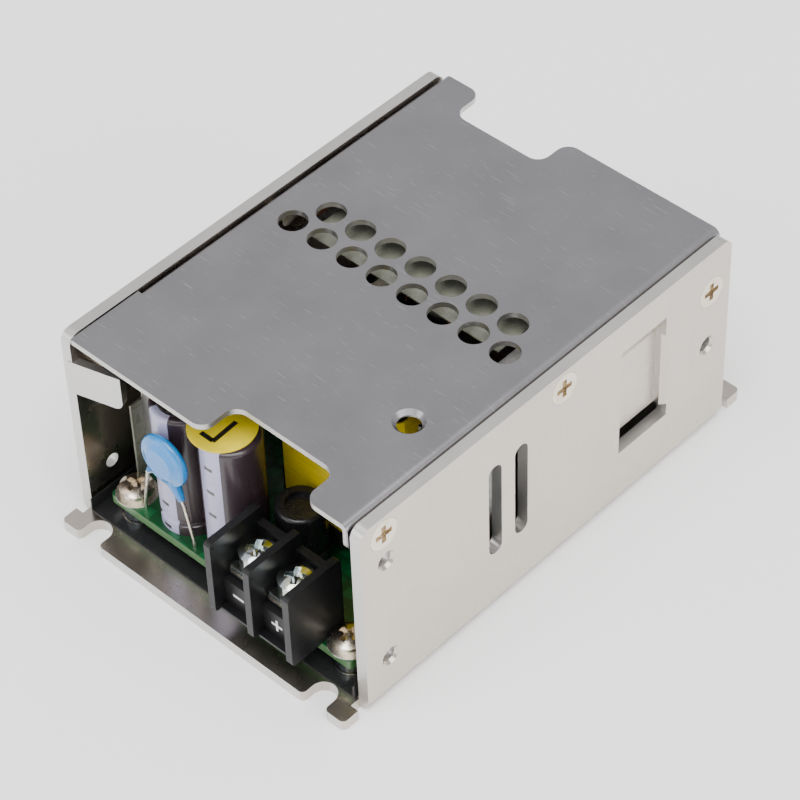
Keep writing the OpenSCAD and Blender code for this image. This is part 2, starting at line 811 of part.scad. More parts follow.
module output_capacitor(x) {
    color("#40303a") translate([x, out_cap_y, board_z]) can_capacitor(out_cap_d, out_cap_h);
}

module inspection_sticker() {
    color("#f0da12") translate([sticker_x, out_cap_y, board_z + out_cap_h])
        cylinder(d = sticker_d, h = 0.12);
}

// Half the section of a disc with rounded rim and flat faces, centred on y = 0.
module disc_section(d, t) {
    rim = t * 0.3;
    translate([d / 2 - rim, 0]) circle(r = rim);
    polygon([[0, -t / 2], [d * 0.28, -t / 2], [d / 2 - rim, -rim],
             [d / 2 - rim, rim], [d * 0.28, t / 2], [0, t / 2]]);
}

// An epoxy neck on a disc, from a to b.
module neck(a, b) {
    v = b - a;
    l = norm(v);
    translate(a) rotate([0, acos(v[2] / l), atan2(v[1], v[0])])
        cylinder(d1 = 2.4, d2 = 1.1, h = l);
}

// The ends of the disc's two necks, measured from its centre.
neck_left = [-3.8, 0, -4.7];
neck_right = [3, 0, -6.6];

module disc_capacitor() {
    color("#1c86c6") translate([disc_x, disc_y, disc_z]) {
        rotate([90, 0, 0]) rotate_extrude() disc_section(disc_d, disc_t);
        neck(neck_left * 0.55, neck_left);
        neck(neck_right * 0.45, neck_right);
    }
}

// A lead that leaves a neck's end straight, bends at a knee and stands on the board.
module lead(start, knee, foot, d) {
    wire(start, knee, d);
    wire(knee, [foot[0], foot[1], board_z + 1.2], d);
    translate([foot[0], foot[1], board_z]) cylinder(d = d, h = 1.2);
}

module disc_capacitor_leads() {
    left = [disc_x, disc_y, disc_z] + neck_left;
    right = [disc_x, disc_y, disc_z] + neck_right;
    color("#b9b4ad") {
        lead(left, left + neck_left * 0.12, [disc_x - 8.6, pcb_front + 1.6], lead_d);
        lead(right, right + neck_right * 0.12, [disc_x + 2.7, pcb_front + 1.1], lead_d);
    }
}

module output_inductor() {
    r = drum_d / 2;
    color("#232124") translate([drum_x, drum_y, board_z]) rotate_extrude() difference() {
        square([r, drum_h]);
        translate([-1, drum_h - 0.9]) square([r * 0.62 + 1, 2]);
        translate([r - 0.6, drum_h - 0.6]) corner(0.6, 1, 1);
        translate([r + 0.5, drum_h * 0.35]) circle(r = 0.9);
    }
}

// ---------- heat sinks and the devices on them ----------

// A device bolted to an upright plate: its back on x = 0, its body towards +X.
module flat_package() {
    w = package_size[1];
    color("#2a2a2c") difference() {
        union() {
            translate([0, -w / 2, 0]) cube(package_size);
            translate([0, -w / 2, package_size[2]])
                cube([package_tab[0], package_tab[1], package_tab[2]]);
            for (pin = [-1 : 1])
                translate([2, pin * 2.54 - 0.4, board_z - package_z])
                    cube([0.6, 0.8, package_z - board_z + eps]);
        }
        translate([-1, 0, package_size[2] + package_tab[2] / 2]) rotate([0, 90, 0])
            cylinder(d = screw_d + 0.3, h = package_tab[0] + 2);
    }
}

// The hole in a plate for a package's screw, through x < 0.
module package_hole() {
    translate([-sink_t - 1, 0, package_size[2] + package_tab[2] / 2]) rotate([0, 90, 0])
        cylinder(d = screw_d + 2 * fit_gap, h = sink_t + 2);
}

module package_screw() {
    color("#bdb9b2") translate([package_tab[0], 0, package_size[2] + package_tab[2] / 2])
        rotate([0, 90, 0]) pan_screw(pan_head_d, pan_head_h, screw_d, package_tab[0] + sink_t);
}

module at_transistor() {
    translate([left_sink_x + sink_t, transistor_y, package_z]) children();
}

module at_rectifier() {
    translate([right_sink_x, rectifier_y, package_z]) rotate([0, 0, 180]) children();
}

module left_heat_sink() {
    color("#b4b3b1") difference() {
        translate([left_sink_x, left_sink_y, board_z]) cube([sink_t, left_sink_l, sink_h]);
        at_transistor() package_hole();
    }
}

module left_insulating_pad() {
    color("#6f7069") translate([left_sink_x - pad_t, left_sink_y - 2.3, board_z])
        cube([pad_t, 24, 15.4]);
}

// The right plate is folded in at its top.
module right_heat_sink() {
    color("#b4b3b1") difference() {
        translate([right_sink_x + sink_t, right_sink_y, board_z]) mirror([1, 0, 0])
            prism_y(0, right_sink_l) difference() {
                square([sink_t + sink_flange_w, sink_h]);
                translate([sink_t, -1]) square([sink_flange_w + 1, sink_h - sink_t + 1]);
                translate([sink_t, sink_h - sink_t]) corner(sink_t, -1, 1);
            }
        at_rectifier() package_hole();
    }
}

module power_transistor() { at_transistor() flat_package(); }
module transistor_screw() { at_transistor() package_screw(); }
module output_rectifier() { at_rectifier() flat_package(); }
module rectifier_screw() { at_rectifier() package_screw(); }

// ---------- transformer ----------

module transformer_core() {
    color("#3a3838") translate([core_x, core_y, core_z]) {
        prism_x(-core_w / 2, core_w) difference() {
            translate([-core_l / 2, 0]) square([core_l, core_h]);
            translate([core_leg - core_l / 2, core_leg])
                square([core_l - 2 * core_leg, core_win]);
        }
        translate([0, 0, core_leg - eps]) cylinder(d = core_mid_d, h = core_win + 2 * eps);
    }
}

module transformer_bobbin() {
    flange = [winding_w, core_l - 2 * core_leg - 0.6];
    tube_d = core_mid_d + 2.2;
    rail_x = core_w / 2 + 0.3;
    color("#26262a") translate([core_x, core_y, core_z]) {
        translate([0, 0, core_leg]) difference() {
            union() {
                for (z = [0, core_win - flange_t])
                    translate([0, 0, z]) linear_extrude(flange_t) intersection() {
                        square(flange, center = true);
                        belt_outline(-0.2);
                    }
                cylinder(d = tube_d, h = core_win);
            }
            translate([0, 0, -1]) cylinder(d = core_mid_d + 2 * fit_gap, h = core_win + 2);
        }
        for (side = [0, 1]) mirror([side, 0, 0])
            translate([rail_x, -flange[1] / 2, board_z - core_z])
                cube([flange[0] / 2 - rail_x, flange[1], core_z + core_leg - board_z + eps]);
    }
}

module transformer_winding() {
    size = [winding_w - 0.8, core_l - 2 * core_leg - 1.2];
    color("#c99a5a") translate([core_x, core_y, core_z + core_leg + flange_t])
        linear_extrude(core_win - 2 * flange_t) difference() {
            intersection() {
                translate(-size / 2) round_rect(size, 5);
                belt_outline(-0.15);
            }
            circle(d = core_mid_d + 2.2 + 2 * fit_gap);
        }
}

// The tape belt's outline: straight over the core's ends, sloping to the winding's sides.
module belt_outline(t) {
    side_y = 4;
    polygon([[core_w / 2, -core_l / 2 - t], [winding_w / 2 + t, -side_y],
             [winding_w / 2 + t, side_y], [core_w / 2, core_l / 2 + t],
             [-core_w / 2, core_l / 2 + t], [-winding_w / 2 - t, side_y],
             [-winding_w / 2 - t, -side_y], [-core_w / 2, -core_l / 2 - t]]);
}

module transformer_belt() {
    color("#e8c81e")
        translate([core_x, core_y, core_z + belt_low])
            linear_extrude(belt_h) difference() {
                belt_outline(belt_t);
                belt_outline(0);
            }
}

// ---------- mains side ----------

module bulk_capacitor() {
    color("#2b2b33") translate([bulk_x, bulk_y, board_z])
        can_capacitor(bulk_cap_d, bulk_cap_h);
}

choke_wire = 0.8;
choke_bore = choke_d * 0.5;
choke_z = board_z + choke_wire + fit_gap;

module choke_core() {
    color("#3f6b4a") translate([choke_x, choke_y, choke_z]) rotate_extrude()
        translate([choke_bore / 2, 0])
            round_rect([(choke_d - choke_bore) / 2, choke_t], 0.6);
}

// Turns of wire round the ring, in two halves that face +X and -X.
module choke_windings() {
    window = [(choke_d - choke_bore) / 2 + 2 * fit_gap, choke_t + 2 * fit_gap];
    wire_2 = 2 * choke_wire;
    color("#a5562c") translate([choke_x, choke_y, choke_z - fit_gap])
        for (half = [0, 180]) for (turn = [-3 : 3])
            rotate([0, 0, half + turn * 19])
                translate([choke_bore / 2 - fit_gap, choke_wire / 2, 0]) rotate([90, 0, 0])
                linear_extrude(choke_wire) difference() {
                    translate([-choke_wire, -choke_wire])
                        round_rect(window + [wire_2, wire_2], 0.6 + choke_wire);
                    round_rect(window, 0.6);
                }
}

module mains_filter_capacitor() {
    color("#d9c23a") translate([xcap_x - xcap_size[0] / 2, xcap_y - xcap_size[1] / 2, board_z])
        linear_extrude(xcap_size[2]) round_rect([xcap_size[0], xcap_size[1]], 0.8);
}

// A ceramic tube fuse with end caps, held off the board by its leads.
module fuse() {
    z = board_z + fuse_d / 2 + 0.8;
    cap_l = 2.6;
    color("#c9c2ae") {
        translate([fuse_x, fuse_y + fuse_l / 2 - 1, z]) rotate([90, 0, 0])
            cylinder(d = fuse_d - 0.5, h = fuse_l - 2);
        for (end = [-1, 1]) translate([fuse_x, fuse_y + end * (fuse_l / 2 - cap_l / 2), z]) {
            rotate([90, 0, 0]) translate([0, 0, -cap_l / 2])
                cylinder(d = fuse_d, h = cap_l);
        }
        for (end = [-1, 1])
            lead([fuse_x, fuse_y + end * (fuse_l / 2 - 0.5), z],
                 [fuse_x, fuse_y + end * (fuse_l / 2 + 1), z],
                 [fuse_x, fuse_y + end * (fuse_l / 2 + 1)], fuse_lead_d);
    }
}

// A row of pins under a flat part; the part stands on them.
module pins(count, pitch, h) {
    for (i = [0 : count - 1])
        translate([(i - (count - 1) / 2) * pitch - pin_size[0] / 2, -pin_size[1] / 2, 0])
            cube([pin_size[0], pin_size[1], h + eps]);
}

module bridge_rectifier() {
    color("#232327") translate([bridge_x, bridge_y, board_z]) {
        translate([0, 0, bridge_lift]) linear_extrude(bridge_size[2]) difference() {
            translate([-bridge_size[0] / 2, -bridge_size[1] / 2])
                square([bridge_size[0], bridge_size[1]]);
            translate([bridge_size[0] / 2, -bridge_size[1] / 2]) rotate(45)
                square(2, center = true);
        }
        pins(4, bridge_pitch, bridge_lift);
    }
}

module thermistor() {
    z = ntc_d / 2 + ntc_lift;
    color("#3c4a3c") translate([ntc_x, ntc_y, board_z]) {
        translate([0, 0, z]) rotate([0, 90, 0]) rotate_extrude() disc_section(ntc_d, ntc_t);
        for (side = [-1, 1]) translate([0, side * ntc_pitch / 2, 0])
            cylinder(d = ntc_lead_d, h = z - 1.5);
    }
}

module optocoupler() {
    color("#e5e3dc") translate([opto_x, opto_y, board_z]) {
        translate([-opto_size[0] / 2, -opto_size[1] / 2, 0.5]) cube(opto_size);
        for (side = [0, 180]) rotate([0, 0, side]) for (x = [-1.27, 1.27])
            translate([x - 0.25, opto_size[1] / 2 - eps, 0]) cube([0.5, 0.3, 2.2]);
    }
}

// ---------- output voltage adjuster ----------

rotor_h = 1.5;
rotor_z = board_z + trim_h - rotor_h - 0.2;

module adjuster_body() {
    color("#2c5aa8") difference() {
        translate([access_x - trim_w / 2, access_y - trim_w / 2, board_z])
            cube([trim_w, trim_w, trim_h]);
        translate([access_x, access_y, rotor_z])
            cylinder(d = trim_rotor_d + 2 * fit_gap, h = trim_h);
    }
}

module adjuster_rotor() {
    color("#e8e6df") translate([access_x, access_y, rotor_z]) difference() {
        cylinder(d = trim_rotor_d, h = rotor_h);
        translate([-trim_rotor_d, -0.3, rotor_h - 0.6]) cube([2 * trim_rotor_d, 0.6, 1]);
        translate([0, 0, rotor_h - 0.6]) cube([0.6, 2.4, 2], center = true);
    }
}

// ---------- nodes ----------

module output_terminal_block() { terminal_block(false); }
module output_contact_strips() { contact_strips(false); }
module output_clamp_minus() { terminal_clamp(false, -1); }
module output_screw_minus() { terminal_screw(false, -1); }
module output_clamp_plus() { terminal_clamp(false, 1); }
module output_screw_plus() { terminal_screw(false, 1); }
module mains_terminal_block() { terminal_block(true); }
module mains_contact_strips() { contact_strips(true); }
module mains_clamp_live() { terminal_clamp(true, -1); }
module mains_screw_live() { terminal_screw(true, -1); }
module mains_clamp_neutral() { terminal_clamp(true, 1); }
module mains_screw_neutral() { terminal_screw(true, 1); }
module output_capacitor_left() { output_capacitor(out_cap_left_x); }
module output_capacitor_right() { output_capacitor(out_cap_right_x); }

chassis();
top_cover();
cover_screws();
cover_film();
base_film();
circuit_board();
board_standoffs();
board_screws();
output_terminal_block();
output_contact_strips();
output_clamp_minus();
output_screw_minus();
output_clamp_plus();
output_screw_plus();
mains_terminal_block();
mains_contact_strips();
mains_clamp_live();
mains_screw_live();
mains_clamp_neutral();
mains_screw_neutral();
output_capacitor_left();
output_capacitor_right();
inspection_sticker();
disc_capacitor();
disc_capacitor_leads();
left_heat_sink();
left_insulating_pad();
power_transistor();
transistor_screw();
right_heat_sink();
output_rectifier();
rectifier_screw();
transformer_core();
transformer_bobbin();
transformer_winding();
transformer_belt();
output_inductor();
bulk_capacitor();
choke_core();
choke_windings();
mains_filter_capacitor();
fuse();
bridge_rectifier();
thermistor();
optocoupler();
adjuster_body();
adjuster_rotor();
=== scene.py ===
"""Looks of an enclosed switching power supply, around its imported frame."""
import math

import bmesh
import bpy
from mathutils import Matrix, Vector


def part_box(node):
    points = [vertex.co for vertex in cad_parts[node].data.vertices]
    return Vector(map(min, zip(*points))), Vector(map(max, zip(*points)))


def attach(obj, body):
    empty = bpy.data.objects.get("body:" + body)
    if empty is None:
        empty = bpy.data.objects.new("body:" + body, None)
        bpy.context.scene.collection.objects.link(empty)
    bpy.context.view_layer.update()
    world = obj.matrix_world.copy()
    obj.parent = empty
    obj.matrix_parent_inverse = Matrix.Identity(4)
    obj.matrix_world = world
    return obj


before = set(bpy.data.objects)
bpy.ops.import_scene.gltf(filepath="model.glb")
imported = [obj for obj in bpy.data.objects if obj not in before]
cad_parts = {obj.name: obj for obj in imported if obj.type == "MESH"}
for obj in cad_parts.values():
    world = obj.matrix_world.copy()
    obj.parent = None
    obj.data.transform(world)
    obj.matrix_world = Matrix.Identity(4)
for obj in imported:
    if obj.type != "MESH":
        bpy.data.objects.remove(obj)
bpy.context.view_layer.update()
MM = 0.001


# ---------- camera, light and floor ----------

CAMERA_PLACE = Vector((240.8, -244.7, 360.4)) * MM
CAMERA_AZIMUTH = math.radians(44.65)
CAMERA_ELEVATION = math.radians(45.25)
CAMERA_ROLL = math.radians(-2.2)


def place_camera():
    """A long lens from the front right, half above, a little rolled."""
    data = bpy.data.cameras.new("camera")
    data.sensor_width = 36
    data.lens = 36 * 3107 / 800
    data.clip_end = 10
    flat = math.cos(CAMERA_ELEVATION)
    back = Vector((math.sin(CAMERA_AZIMUTH) * flat, -math.cos(CAMERA_AZIMUTH) * flat,
                   math.sin(CAMERA_ELEVATION)))
    right = Vector((math.cos(CAMERA_AZIMUTH), math.sin(CAMERA_AZIMUTH), 0))
    up = back.cross(right)
    turn = Matrix((right, up, back)).transposed() @ Matrix.Rotation(CAMERA_ROLL, 3, "Z")
    camera = bpy.data.objects.new("camera", data)
    camera.matrix_world = Matrix.Translation(CAMERA_PLACE) @ turn.to_4x4()
    bpy.context.collection.objects.link(camera)
    bpy.context.scene.camera = camera


def soft_light(name, place, aim, size, watts, colour=(1, 1, 1)):
    """A rectangular soft box that faces a point."""
    data = bpy.data.lights.new(name, "AREA")
    data.shape = "RECTANGLE"
    data.size, data.size_y = size
    data.energy = watts
    data.color = colour
    lamp = bpy.data.objects.new(name, data)
    lamp.location = place
    lamp.rotation_euler = (Vector(aim) - Vector(place)).to_track_quat("-Z", "Y").to_euler()
    bpy.context.collection.objects.link(lamp)


# ---------- materials ----------

def tint(code, gain=1):
    """An sRGB hex colour as linear red, green, blue and alpha."""
    parts = [int(code[i:i + 2], 16) / 255 for i in (1, 3, 5)]
    linear = [c / 12.92 if c <= 0.04045 else ((c + 0.055) / 1.055) ** 2.4 for c in parts]
    return (*(gain * c for c in linear), 1)


def add(tree, kind, settings=None, links=None):
    """Adds one node, sets its properties or sockets, and links its inputs."""
    made = tree.nodes.new(kind)
    for key, value in (settings or {}).items():
        if isinstance(key, str) and hasattr(made, key):
            setattr(made, key, value)
        else:
            made.inputs[key].default_value = value
    for key, source in (links or {}).items():
        tree.links.new(source, made.inputs[key])
    return made


def new_material(name, **settings):
    """A material with a principled shader; gives back the material, its tree, its shader
    and the object coordinates."""
    made = bpy.data.materials.new(name)
    made.use_nodes = True
    tree = made.node_tree
    tree.nodes.clear()
    shader = add(tree, "ShaderNodeBsdfPrincipled",
                 {key.replace("_", " "): value for key, value in settings.items()})
    add(tree, "ShaderNodeOutputMaterial", None, {"Surface": shader.outputs["BSDF"]})
    coords = add(tree, "ShaderNodeTexCoord")
    return made, tree, shader, coords


def spread(tree, source, low, high, to_low, to_high):
    """Maps a value between two limits to another range, held at its ends."""
    return add(tree, "ShaderNodeMapRange", {
        "From Min": low, "From Max": high, "To Min": to_low, "To Max": to_high},
        {"Value": source}).outputs["Result"]


def reckon(tree, operation, first, second):
    """One sum on two values, each a socket or a number."""
    made = add(tree, "ShaderNodeMath", {"operation": operation})
    for index, value in enumerate((first, second)):
        if isinstance(value, (int, float)):
            made.inputs[index].default_value = value
        else:
            tree.links.new(value, made.inputs[index])
    return made.outputs[0]


def blend_colours(tree, factor, first, second):
    """Mixes two colours, each a socket or a fixed colour."""
    made = add(tree, "ShaderNodeMix", {"data_type": "RGBA"}, {0: factor})
    for index, value in ((6, first), (7, second)):
        if isinstance(value, tuple):
            made.inputs[index].default_value = value
        else:
            tree.links.new(value, made.inputs[index])
    return made.outputs[2]


def noise(tree, coords, size, detail=2, stretch=(1, 1, 1), turn=(0, 0, 0)):
    """Noise with features of a size in metres, drawn out along each axis by stretch."""
    mapped = add(tree, "ShaderNodeMapping", {
        "Rotation": turn, "Scale": tuple(1 / (size * s) for s in stretch)}, {"Vector": coords})
    return add(tree, "ShaderNodeTexNoise", {"Scale": 1, "Detail": detail},
               {"Vector": mapped.outputs["Vector"]}).outputs["Fac"]


def bump(tree, shader, height, depth):
    """Raises the surface by a height pattern of that depth in metres."""
    made = add(tree, "ShaderNodeBump", {"Strength": 1, "Distance": depth}, {"Height": height})
    tree.links.new(made.outputs["Normal"], shader.inputs["Normal"])


def axis_parts(tree, source):
    """The three parts of a vector."""
    return add(tree, "ShaderNodeSeparateXYZ", None, {"Vector": source}).outputs


def chassis_cuts(tree, coords):
    """1 on the sheared edges of the channel: what faces neither sideways nor out of the base."""
    nx, _, nz = (reckon(tree, "ABSOLUTE", part, 0)
                 for part in axis_parts(tree, coords.outputs["Normal"]))
    z = axis_parts(tree, coords.outputs["Object"])[2]
    not_side = reckon(tree, "LESS_THAN", nx, 0.35)
    above_base = reckon(tree, "GREATER_THAN", z, 2.6 * MM)
    upright = reckon(tree, "LESS_THAN", nz, 0.5)
    return reckon(tree, "MULTIPLY", not_side, reckon(tree, "MAXIMUM", above_base, upright))


def cover_cuts(tree, coords):
    """1 on the sheared edges of the cover."""
    nz = reckon(tree, "ABSOLUTE", axis_parts(tree, coords.outputs["Normal"])[2], 0)
    x = reckon(tree, "ABSOLUTE", axis_parts(tree, coords.outputs["Object"])[0], 0)
    upright = reckon(tree, "LESS_THAN", nz, 0.3)
    inside = reckon(tree, "LESS_THAN", x, 28.3 * MM)
    return reckon(tree, "MULTIPLY", upright, inside)


def sheet_metal(name, face, edge, roughness, cuts, scratch_gain):
    """Rolled and handled aluminium sheet: faint grain along the rolling direction, cloudy
    patches, a few hairline scratches, and grainy sheared edges. The edges are lighter partly from
    their own rougher shear and partly as a painted highlight of the light their burred rims catch."""
    made, tree, shader, coords = new_material(name, Metallic=1)
    place = coords.outputs["Object"]
    grain = noise(tree, place, 0.14 * MM, 2, (1, 30, 1))
    clouds = noise(tree, place, 9 * MM, 5)
    speckle = noise(tree, place, 0.3 * MM, 3)
    lines = None
    for angle, length, width in ((0.7, 24, 0.2), (2.3, 16, 0.2)):
        drawn = noise(tree, place, width * MM, 0, (length, 1, length), (0, 0, angle))
        sharp = spread(tree, drawn, 0.79, 0.82, 0, 1)
        lines = sharp if lines is None else reckon(tree, "MAXIMUM", lines, sharp)
    tone = reckon(tree, "MULTIPLY", spread(tree, clouds, 0.3, 0.7, 0.96, 1.03),
                  spread(tree, grain, 0.3, 0.7, 0.985, 1.015))
    cut = cuts(tree, coords)
    # The sheared faces take the lighter edge colour. This is partly their rougher finish and
    # partly a painted highlight for their burred rims.
    colour = blend_colours(tree, cut, tint(face), tint(edge))
    toned = add(tree, "ShaderNodeHueSaturation", None, {"Color": colour, "Value": tone})
    scratched = blend_colours(tree, reckon(tree, "MULTIPLY", lines, scratch_gain),
                              toned.outputs["Color"], tint("#e2e0dc"))
    tree.links.new(scratched, shader.inputs["Base Color"])
    rough = reckon(tree, "ADD", spread(tree, clouds, 0.3, 0.7, roughness - 0.03, roughness + 0.03),
                   reckon(tree, "MULTIPLY", cut, 0.12))
    tree.links.new(rough, shader.inputs["Roughness"])
    height = reckon(tree, "ADD", reckon(tree, "MULTIPLY", grain, 0.5),
                    reckon(tree, "ADD", reckon(tree, "MULTIPLY", lines, -0.8),
                           reckon(tree, "MULTIPLY", speckle, reckon(tree, "ADD", cut, 0.3))))
    bump(tree, shader, height, 0.003 * MM)
    return made


def plated_steel(name, colour, patina, roughness):
    """Zinc or nickel plated steel: smooth, with faint yellowish passivation and fine wear."""
    made, tree, shader, coords = new_material(name, Metallic=1)
    place = coords.outputs["Object"]
    clouds = noise(tree, place, 2.2 * MM, 3)
    fine = noise(tree, place, 0.25 * MM, 2)
    mixed = blend_colours(tree, spread(tree, clouds, 0.45, 0.65, 0, 1), tint(colour), tint(patina))
    tree.links.new(mixed, shader.inputs["Base Color"])
    tree.links.new(spread(tree, fine, 0.3, 0.7, roughness - 0.06, roughness + 0.08),
                   shader.inputs["Roughness"])
    bump(tree, shader, fine, 0.004 * MM)
    return made


def moulded(name, colour, roughness, grain_size, depth, coat=0, gloss=0.5):
    """A moulded or dipped plastic: an even colour with faint mottling, and the fine texture
    that the tool or the dip leaves."""
    made, tree, shader, coords = new_material(name, Coat_Weight=coat, Coat_Roughness=0.08,
                                              Specular_IOR_Level=gloss)
    place = coords.outputs["Object"]
    mottle = noise(tree, place, 3 * MM, 3)
    fine = noise(tree, place, grain_size * MM, 2)
    toned = add(tree, "ShaderNodeHueSaturation", {"Color": tint(colour)},
                {"Value": spread(tree, mottle, 0.3, 0.7, 0.9, 1.1)})
    tree.links.new(toned.outputs["Color"], shader.inputs["Base Color"])
    tree.links.new(spread(tree, fine, 0.3, 0.7, roughness - 0.05, roughness + 0.05),
                   shader.inputs["Roughness"])
    bump(tree, shader, fine, depth * MM)
    return made


def solder_mask():
    """Glass-epoxy board under green solder mask: a glossy green face with the tracks faintly
    raised under it, and pale raw edges."""
    made, tree, shader, coords = new_material("green_solder_mask", Coat_Weight=0.5,
                                              Coat_Roughness=0.12)
    place = coords.outputs["Object"]
    nz = reckon(tree, "ABSOLUTE", axis_parts(tree, coords.outputs["Normal"])[2], 0)
    rim = reckon(tree, "LESS_THAN", nz, 0.5)
    tracks = add(tree, "ShaderNodeTexVoronoi", {"distance": "CHEBYCHEV", "Scale": 1 / (2.6 * MM),
                                                "Randomness": 0.75}, {"Vector": place})
    copper = spread(tree, tracks.outputs["Distance"], 0.34, 0.38, 1, 0)
    weave = noise(tree, place, 0.3 * MM, 2)
    green = blend_colours(tree, copper, tint("#01421f"), tint("#06592e"))
    faced = blend_colours(tree, rim, green, tint("#3f6a3c"))
    tree.links.new(faced, shader.inputs["Base Color"])
    tree.links.new(spread(tree, weave, 0.3, 0.7, 0.3, 0.42), shader.inputs["Roughness"])
    bump(tree, shader, reckon(tree, "ADD", copper, reckon(tree, "MULTIPLY", weave, 0.2)),
         0.03 * MM)
    return made


def sleeve(name, centre, top, radius, stripe_turn, colour, stripe_colour):
    """A printed shrink sleeve on a can capacitor: a glossy film with a pale stripe and minus
    signs along one side, and bare aluminium inside the crimp on top."""
    made, tree, shader, coords = new_material(name, Coat_Weight=0.3, Coat_Roughness=0.1)
    place = add(tree, "ShaderNodeMapping", {
        "Location": (-centre[0], -centre[1], 0)}, {"Vector": coords.outputs["Object"]})
    x, y, z = axis_parts(tree, place.outputs["Vector"])
    turned = add(tree, "ShaderNodeMapping", {"Rotation": (0, 0, -stripe_turn)},
                 {"Vector": place.outputs["Vector"]})
    tx, ty, _ = axis_parts(tree, turned.outputs["Vector"])
    angle = reckon(tree, "ARCTAN2", ty, tx)
    across = reckon(tree, "MULTIPLY", reckon(tree, "ABSOLUTE", angle, 0), radius)
    stripe = reckon(tree, "LESS_THAN", across, 0.44 * radius)
    step = reckon(tree, "MODULO", z, 5 * MM)
    dash = reckon(tree, "MULTIPLY", reckon(tree, "LESS_THAN", across, 0.16 * radius),
                  reckon(tree, "LESS_THAN", reckon(tree, "ABSOLUTE",
                         reckon(tree, "SUBTRACT", step, 2.5 * MM), 0), 0.35 * MM))
    film = blend_colours(tree, stripe, tint(colour), tint(stripe_colour))
    printed = blend_colours(tree, dash, film, tint(colour))
    squared = reckon(tree, "ADD", reckon(tree, "MULTIPLY", x, x), reckon(tree, "MULTIPLY", y, y))
    inner = reckon(tree, "LESS_THAN", squared, (radius - 1.25 * MM) ** 2)
    can = reckon(tree, "MULTIPLY", inner, reckon(tree, "GREATER_THAN", z, top - 0.6 * MM))
    tree.links.new(blend_colours(tree, can, printed, tint("#c9c9c6")), shader.inputs["Base Color"])
    tree.links.new(can, shader.inputs["Metallic"])
    ripple = noise(tree, coords.outputs["Object"], 1.5 * MM, 2, (1, 1, 4))
    tree.links.new(spread(tree, ripple, 0.3, 0.7, 0.26, 0.36), shader.inputs["Roughness"])
    bump(tree, shader, ripple, 0.02 * MM)
    return made


def tape(name, colour, layer):
    """Polyester tape wound in layers: glossy, with fine lines where the layers' edges show."""
    made, tree, shader, coords = new_material(name, Coat_Weight=0.4, Coat_Roughness=0.15)
    place = coords.outputs["Object"]
    folds = noise(tree, place, layer * MM, 2, (8, 8, 1))
    toned = add(tree, "ShaderNodeHueSaturation", {"Color": tint(colour)},
                {"Value": spread(tree, folds, 0.3, 0.7, 0.88, 1.08)})
    tree.links.new(toned.outputs["Color"], shader.inputs["Base Color"])
    tree.links.new(spread(tree, folds, 0.3, 0.7, 0.32, 0.45), shader.inputs["Roughness"])
    bump(tree, shader, folds, 0.03 * MM)
    return made


# ---------- pieces made here ----------

def finish_piece(name, mesh, material, body, smooth=False):
    """Turns a bmesh into a piece of the object that rides on a body."""
    bmesh.ops.recalc_face_normals(mesh, faces=mesh.faces)
    data = bpy.data.meshes.new(name)
    mesh.to_mesh(data)
    mesh.free()
    data.materials.append(material)
    for polygon in data.polygons:
        polygon.use_smooth = smooth
    piece = bpy.data.objects.new(name, data)
    bpy.context.collection.objects.link(piece)
    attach(piece, body)
    return piece


def add_bar(mesh, size, place, turn=None):
    """A thin box of a size, turned and put in place, in millimetres."""
    matrix = Matrix.Translation(Vector(place) * MM) @ (turn or Matrix()) @ \
        Matrix.Diagonal((*(s * MM for s in size), 1))
    bmesh.ops.create_cube(mesh, size=1, matrix=matrix)


def terminal_signs(material):
    """The printed minus and plus signs on the output block's label faces, a little left of
    each pole's middle. The plus has its upright in two halves, so that no bars cross."""
    length, stroke, ink = 2.2, 0.42, 0.06
    half = 0.9
    pole_offset, sign_shift = 4.05, 0.6
    label_setback, sign_height = 2.3, 3.3
    low, high = (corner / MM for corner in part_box("output_terminal_block"))
    middle = (low.x + high.x) / 2 - sign_shift
    y = low.y + label_setback
    z = low.z + sign_height
    mesh = bmesh.new()
    for x in (middle - pole_offset, middle + pole_offset):
        add_bar(mesh, (length, ink, stroke), (x, y, z))
    for side in (-1, 1):
        add_bar(mesh, (stroke, ink, half),
                (middle + pole_offset, y, z + side * (half + stroke) / 2))
    return finish_piece("terminal_signs", mesh, material, "case")


def sticker_tick(material):
    """A plain tick on the round sticker: a short stroke and a long one."""
    stroke, ink = 0.8, 0.05
    low, high = (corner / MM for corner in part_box("inspection_sticker"))
    centre = (low + high) / 2
    mesh = bmesh.new()
    for length, turn, dx, dy in ((2.6, 0, -0.2, -3.0), (5.2, 93, 1.0, -0.55)):
        add_bar(mesh, (length, stroke, ink), (centre.x + dx, centre.y + dy, high.z + 0.01),
                Matrix.Rotation(math.radians(turn), 4, "Z"))
    return finish_piece("sticker_tick", mesh, material, "case")


def pad_rings(material):
    """Tinned rings on the board under its screws' heads."""
    head_radius, ring_radius, ring_height = 2.8, 3.5, 0.06
    low, high = (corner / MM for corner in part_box("board_screws"))
    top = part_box("circuit_board")[1].z / MM
    mesh = bmesh.new()
    for x in (low.x + head_radius, high.x - head_radius):
        for y in (low.y + head_radius, high.y - head_radius):
            bmesh.ops.create_cone(mesh, cap_ends=True, segments=48, radius1=ring_radius * MM,
                                  radius2=(ring_radius - 0.05) * MM, depth=ring_height * MM,
                                  matrix=Matrix.Translation(Vector((x, y, top + 0.02)) * MM))
    return finish_piece("pad_rings", mesh, material, "case")


# ---------- finishes ----------

# Bare aluminium: a warm channel, and a cover of the same sheet painted darker grey as painted
# shade, for the dim surroundings its upward face reflects.
# Each sheet's second colour is for its sheared edges. It is partly their own rough finish and
# partly a painted highlight.
channel_sheet = sheet_metal("milled_aluminium_sheet", "#c8bfb5", "#cfcdca", 0.27,
                            chassis_cuts, 0.2)
shade_painted_cover = sheet_metal("painted_shade_aluminium_cover", "#99979a", "#c4c2be", 0.3, cover_cuts, 0.35)
heat_sink_aluminium = plated_steel("extruded_aluminium", "#bdbcba", "#aaa9a6", 0.38)

